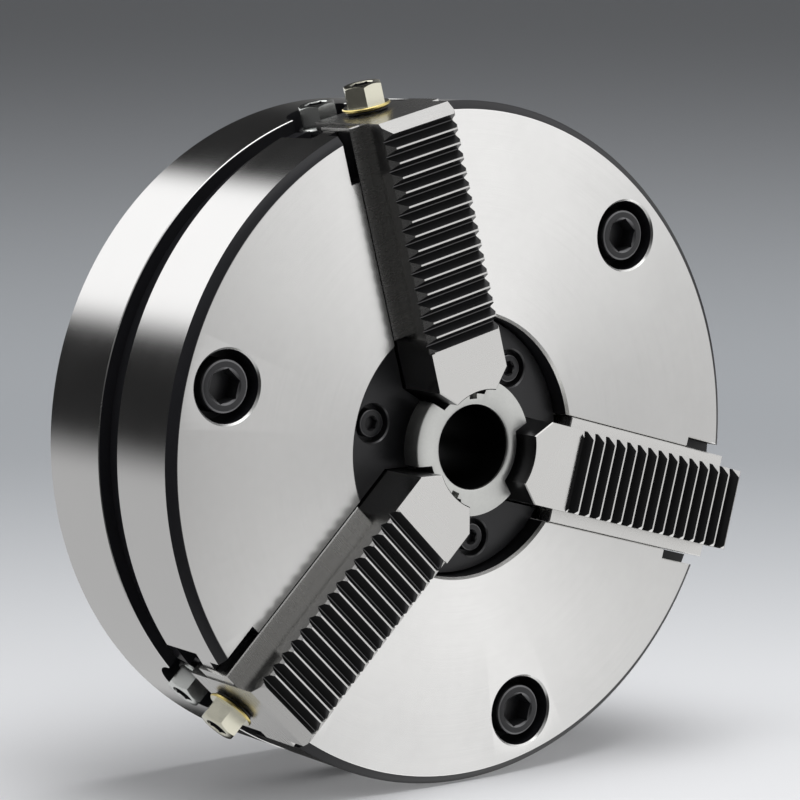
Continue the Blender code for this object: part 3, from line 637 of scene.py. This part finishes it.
screw = turned([(0, 92.5), (3.0, 92.5), (3.0, 106.3), (7.2, 106.3), (7.4, 106.5), (7.4, 106.9), (7.1, 107.2), (0, 107.2)], 64)
join(screw, hex_head(11, 107.1, 113.7, 6, 3.1))
# the hex socket's inside gets black_part: painted shade in the socket
first = piece(moved(along_x(screw), z=-14.0), "jaw_end_screw_fine_1", "jaw_1", "jaw_end_screw_1", [yellow, yellow_ring, black_part],
              lambda c, n: 1 if c.x < 107.15 else (2 if c.x < 113.2 and math.hypot(c.y, c.z + 14) < 3.6 and c.x > 110 else 0),
              JAW_ANGLES[0])
copies(first, "jaw_end_screw_fine", "jaw_{}", "jaw_end_screw_{}", JAW_ANGLES)
washer = turned([(3.4, 105.3), (6.3, 105.3), (6.5, 105.5), (6.5, 105.8), (6.3, 106.0), (3.4, 106.0)], 64)
first = piece(moved(along_x(washer), z=-14.0), "jaw_end_washer_fine_1", "jaw_1", "jaw_end_washer_1", [black_part], None, JAW_ANGLES[0])
copies(first, "jaw_end_washer_fine", "jaw_{}", "jaw_end_washer_{}", JAW_ANGLES)

spindle = turned([(0, 81.7), (SPINDLE_R, 81.7), (SPINDLE_R, 91.6), (SPINDLE_R - 0.5, 91.6), (SPINDLE_R - 0.5, 98.6),
                  (6.7, 98.6), (6.9, 98.8), (6.9, 99.9), (6.5, 100.4), (0, 100.4)], 64)
join(spindle, hex_head(11, 100.2, 107.2, 6, 3.2))
spindle = moved(along_x(spindle), z=-SPINDLE_DEPTH)
join(spindle, moved(along_x(turned([(0, 74.0), (4.0, 74.0), (4.0, 82.5), (0, 82.5)], 40)), z=-SPINDLE_DEPTH + 1.4))
# the hex socket's inside gets black_part: painted shade in the socket
first = piece(spindle, "release_spindle_fine_1", "spindle_1", "release_spindle_1", [zinc, black_part],
              lambda c, n: 1 if c.x > 103.5 and c.x < 106.7 and math.hypot(c.y, c.z + SPINDLE_DEPTH) < 3.6 else 0, JAW_ANGLES[0])
copies(first, "release_spindle_fine", "spindle_{}", "release_spindle_{}", JAW_ANGLES)
bush = turned([(SPINDLE_R + 0.1, 91.9), (BUSH_R, 91.9), (BUSH_R, 97.5), (BUSH_R - 0.6, 98.1), (SPINDLE_R + 0.6, 98.1),
               (SPINDLE_R + 0.1, 97.6)], 72)
first = piece(moved(along_x(bush), z=-SPINDLE_DEPTH), "spindle_bush_fine_1", "chuck_body", "spindle_bush_1", [black_part, black_worn],
              lambda c, n: 1 if c.x > 97.5 and 0.3 < n.x < 0.95 else 0, JAW_ANGLES[0])
copies(first, "spindle_bush_fine", "chuck_body", "spindle_bush_{}", JAW_ANGLES)

# ------------------------------------------------------------------ rear: adapter, its screws and nut
plate = turned([(38.6, -ADAPTER_T), (ADAPTER_R, -ADAPTER_T), (ADAPTER_R, -HEIGHT + 0.4), (ADAPTER_R - 0.4, -HEIGHT),
                (SPIGOT_R + 0.3, -HEIGHT), (SPIGOT_R, -HEIGHT + 0.3), (SPIGOT_R - 0.6, -HEIGHT + 5), (39.0, -HEIGHT + 5),
                (38.6, -HEIGHT + 5.4)][::-1], 192)
back_angles = [JAW_ANGLES[0] + 30 + 60 * k for k in range(6)]
cut(plate,
    *[rotated(turned([(0, -HEIGHT - 2), (7.4, -HEIGHT - 2), (7.4, -HEIGHT), (7.0, -HEIGHT + 0.4), (7.0, -66.6), (0, -66.6)], 48,
                     (BACK_SCREW_R, 0)), a) for a in back_angles],
    *[rotated(turned([(0, -67), (4.4, -67), (4.4, -ADAPTER_T + 1), (0, -ADAPTER_T + 1)], 32, (BACK_SCREW_R, 0)), a)
      for a in back_angles],
    *[rotated(turned([(0, -HEIGHT - 2), (6.5, -HEIGHT - 2), (6.5, -HEIGHT), (6.0, -HEIGHT + 0.5), (6.0, -ADAPTER_T + 1),
                      (0, -ADAPTER_T + 1)], 48, (66.7, 0)), a + 30) for a in back_angles])
# the plate's chamfers get the painted highlight steel
piece(plate, "adapter_plate_fine", "chuck_body", "adapter_plate", [machined, chamfer_painted_highlight_steel],
      lambda c, n: 1 if -0.95 < n.z < -0.3 else 0)
back = socket_screw(6.5, 3.9, 4.0, 12.0, 5.6, 2.6, 64)
turn_mesh(back, Matrix.Translation((BACK_SCREW_R, 0, -70.6)) @ Matrix.Rotation(math.pi, 4, "X"))
first = piece(back, "back_screw_fine_1", "chuck_body", "back_screw_1", [black_part, black_worn],
              lambda c, n: 1 if -0.97 < n.z < -0.3 and c.z < -69.5 else 0, back_angles[0])
copies(first, "back_screw_fine", "chuck_body", "back_screw_{}", back_angles)

nut = turned([(20.0, -58.4), (33.0, -58.4), (33.0, -67.6), (30.0, -67.6), (30.0, -69.6), (29.6, -70.0), (20.5, -70.0),
              (20.0, -69.5)], 160)
cut(nut, *[rotated(box(24, 36, -3, 3, -72, -68.0), JAW_ANGLES[0] + 90 * k) for k in range(4)])
piece(nut, "draw_nut_fine", "piston", "draw_nut", [machined])

# ------------------------------------------------------------------ the CAD parts that stay
for name, mat in [("draw_piston", machined), ("piston_seal", rubber), ("body_dowel_1", machined), ("body_dowel_2", machined)] + \
        [(f"wedge_bar_{i}", slot_painted_shade_metal) for i in (1, 2, 3)] + [(f"latch_pin_{i}", machined) for i in (1, 2, 3)] + \
        [(f"latch_spring_{i}", spring_mat) for i in (1, 2, 3)]:
    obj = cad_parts[name]
    obj.data.materials.clear()
    obj.data.materials.append(mat)

# ------------------------------------------------------------------ studio
floor_z = -R * MM - 0.0003
STAGE_GLOW = 0.06


def stage_material(name):
    """A pale sweep with painted light falloff: near white low down to grey blue at the top of the frame, by window
    height, and it glows faintly in the same colours.
    """
    mat, nodes, links, bsdf = new_material(name)
    coords = nodes.new("ShaderNodeTexCoord")
    split = nodes.new("ShaderNodeSeparateXYZ")
    links.new(coords.outputs["Window"], split.inputs[0])
    ramp = nodes.new("ShaderNodeValToRGB")
    ramp.color_ramp.interpolation = "EASE"
    stops = ramp.color_ramp.elements
    stops[0].position, stops[0].color = 0.0, (0.66, 0.665, 0.68, 1)
    stops[1].position, stops[1].color = 1.0, (0.10, 0.103, 0.108, 1)
    mid = stops.new(0.5)
    mid.color = (0.34, 0.355, 0.375, 1)
    links.new(split.outputs[1], ramp.inputs[0])
    links.new(ramp.outputs[0], bsdf.inputs["Base Color"])
    links.new(ramp.outputs[0], bsdf.inputs["Emission Color"])
    bsdf.inputs["Emission Strength"].default_value = STAGE_GLOW
    bsdf.inputs["Roughness"].default_value = 0.9
    bsdf.inputs["Specular IOR Level"].default_value = 0.1
    return mat


bm = bmesh.new()
rows = []
depth, radius, top = 1.2, 0.5, 2.2
points = [(-2.5, 0.0), (depth - radius, 0.0)]
points += [(depth - radius + radius * math.sin(t), radius - radius * math.cos(t)) for t in [math.pi / 2 * i / 24 for i in range(1, 25)]]
points += [(depth, top)]
back_dir = Vector((0.576, 0.809, 0)).normalized()
right_dir = Vector((back_dir.y, -back_dir.x, 0))
for along, up in points:
    rows.append([bm.verts.new(back_dir * along + right_dir * s + Vector((0, 0, floor_z + up))) for s in (-4.0, 4.0)])
for a, b in zip(rows, rows[1:]):
    bm.faces.new([a[0], a[1], b[1], b[0]])
mesh = bpy.data.meshes.new("sweep")
bm.to_mesh(mesh)
bm.free()
mesh.shade_smooth()
sweep = bpy.data.objects.new("sweep", mesh)
scene.collection.objects.link(sweep)
mesh.materials.append(stage_material("sweep_painted_falloff"))
sweep.visible_glossy = False


def area(name, place, target, size, power, colour=(1, 1, 1), size_y=None):
    light = bpy.data.lights.new(name, "AREA")
    light.shape = "RECTANGLE"
    light.size = size
    light.size_y = size_y or size
    light.energy = power
    light.color = colour
    obj = bpy.data.objects.new(name, light)
    scene.collection.objects.link(obj)
    obj.location = place
    obj.rotation_mode = "QUATERNION"
    obj.rotation_quaternion = (Vector(target) - Vector(place)).to_track_quat("-Z", "Y")
    return obj


area("right_front_box", (1.3, -1.6, 0.35), (0, 0, 0), 2.4, 3.0, (1, 0.99, 0.97), 2.4)
area("top_front_box", (-0.3, -0.5, 1.6), (0, 0, 0), 1.3, 4.5, (1, 1, 1), 0.9)
area("left_box", (-1.7, 0.2, 0.45), (0, 0, 0), 0.9, 1.5, (0.98, 0.99, 1), 1.4)
floor_light = area("floor_light", (0.15, -0.25, 1.8), (0.0, 0.0, -0.1), 1.3, 27, (1, 1, 1))
floor_light.visible_glossy = False

world = bpy.data.worlds.new("studio")
scene.world = world
world.use_nodes = True
nodes, links = world.node_tree.nodes, world.node_tree.links
background = nodes["Background"]
coords = nodes.new("ShaderNodeTexCoord")
split = nodes.new("ShaderNodeSeparateXYZ")
links.new(coords.outputs["Generated"], split.inputs[0])
DX, DY, DZ = split.outputs


def calc(op, *values, clamp=False):
    n = nodes.new("ShaderNodeMath")
    n.operation = op
    n.use_clamp = clamp
    for i, v in enumerate(values):
        if hasattr(v, "links"):
            links.new(v, n.inputs[i])
        else:
            n.inputs[i].default_value = v
    return n.outputs[0]


def between(value, low, high):
    n = nodes.new("ShaderNodeMapRange")
    n.interpolation_type = "SMOOTHSTEP"
    links.new(value, n.inputs["Value"])
    n.inputs["From Min"].default_value, n.inputs["From Max"].default_value = min(low, high), max(low, high)
    if low > high:
        n.inputs["To Min"].default_value, n.inputs["To Max"].default_value = 1.0, 0.0
    return n.outputs["Result"]


# behind the chuck: four soft boxes with dark gaps between, laid out by the angle on the rim that mirrors them
turn = calc("DEGREES", calc("ARCTAN2", calc("ADD", DZ, 0.117), calc("SUBTRACT", DX, 0.576)))


def soft_box(centre, half, soft, level):
    away = calc("ABSOLUTE", calc("SUBTRACT", calc("FLOORED_MODULO", calc("ADD", turn, 540.0 - centre), 360.0), 180.0))
    return calc("MULTIPLY", between(away, half + soft, half), level)


rear_light = calc("ADD", 0.02, soft_box(143, 11, 7, 1.30))
for values in ((206, 22, 8, 0.55), (60, 15, 35, 0.34), (315, 35, 35, 0.35)):
    rear_light = calc("ADD", rear_light, soft_box(*values))
# in front of it: dark low on the left, pale on the right, bright above
front_light = calc("ADD", calc("ADD", 0.04, calc("MULTIPLY", between(DX, -0.15, 0.45), 0.80)),
                   calc("MULTIPLY", between(DZ, 0.15, 0.65), 0.30))
front_light = calc("ADD", front_light, calc("MULTIPLY", between(DZ, -0.50, -0.80), 0.55))
side = between(DY, -0.05, 0.30)
total = calc("ADD", calc("MULTIPLY", rear_light, side), calc("MULTIPLY", front_light, calc("SUBTRACT", 1.0, side)))
links.new(total, background.inputs[0])
background.inputs[1].default_value = 1.0

# ------------------------------------------------------------------ camera
az, el, dist = math.radians(-35.45), math.radians(6.73), 8.295 * R * MM
target = Vector((-0.231 * R * MM, FRONT_Y, 0.149 * R * MM))
back_vec = Vector((math.sin(az) * math.cos(el), -math.cos(az) * math.cos(el), math.sin(el)))
cam_data = bpy.data.cameras.new("camera")
cam = bpy.data.objects.new("camera", cam_data)
scene.collection.objects.link(cam)
cam_data.sensor_width = 36.0
cam_data.lens = 36.0 * 2901.8 / 800.0
cam_data.clip_start, cam_data.clip_end = 0.05, 20.0
cam.location = target + back_vec * dist
cam.rotation_mode = "QUATERNION"
cam.rotation_quaternion = (-back_vec).to_track_quat("-Z", "Y")
scene.camera = cam
scene.view_settings.view_transform = "Standard"
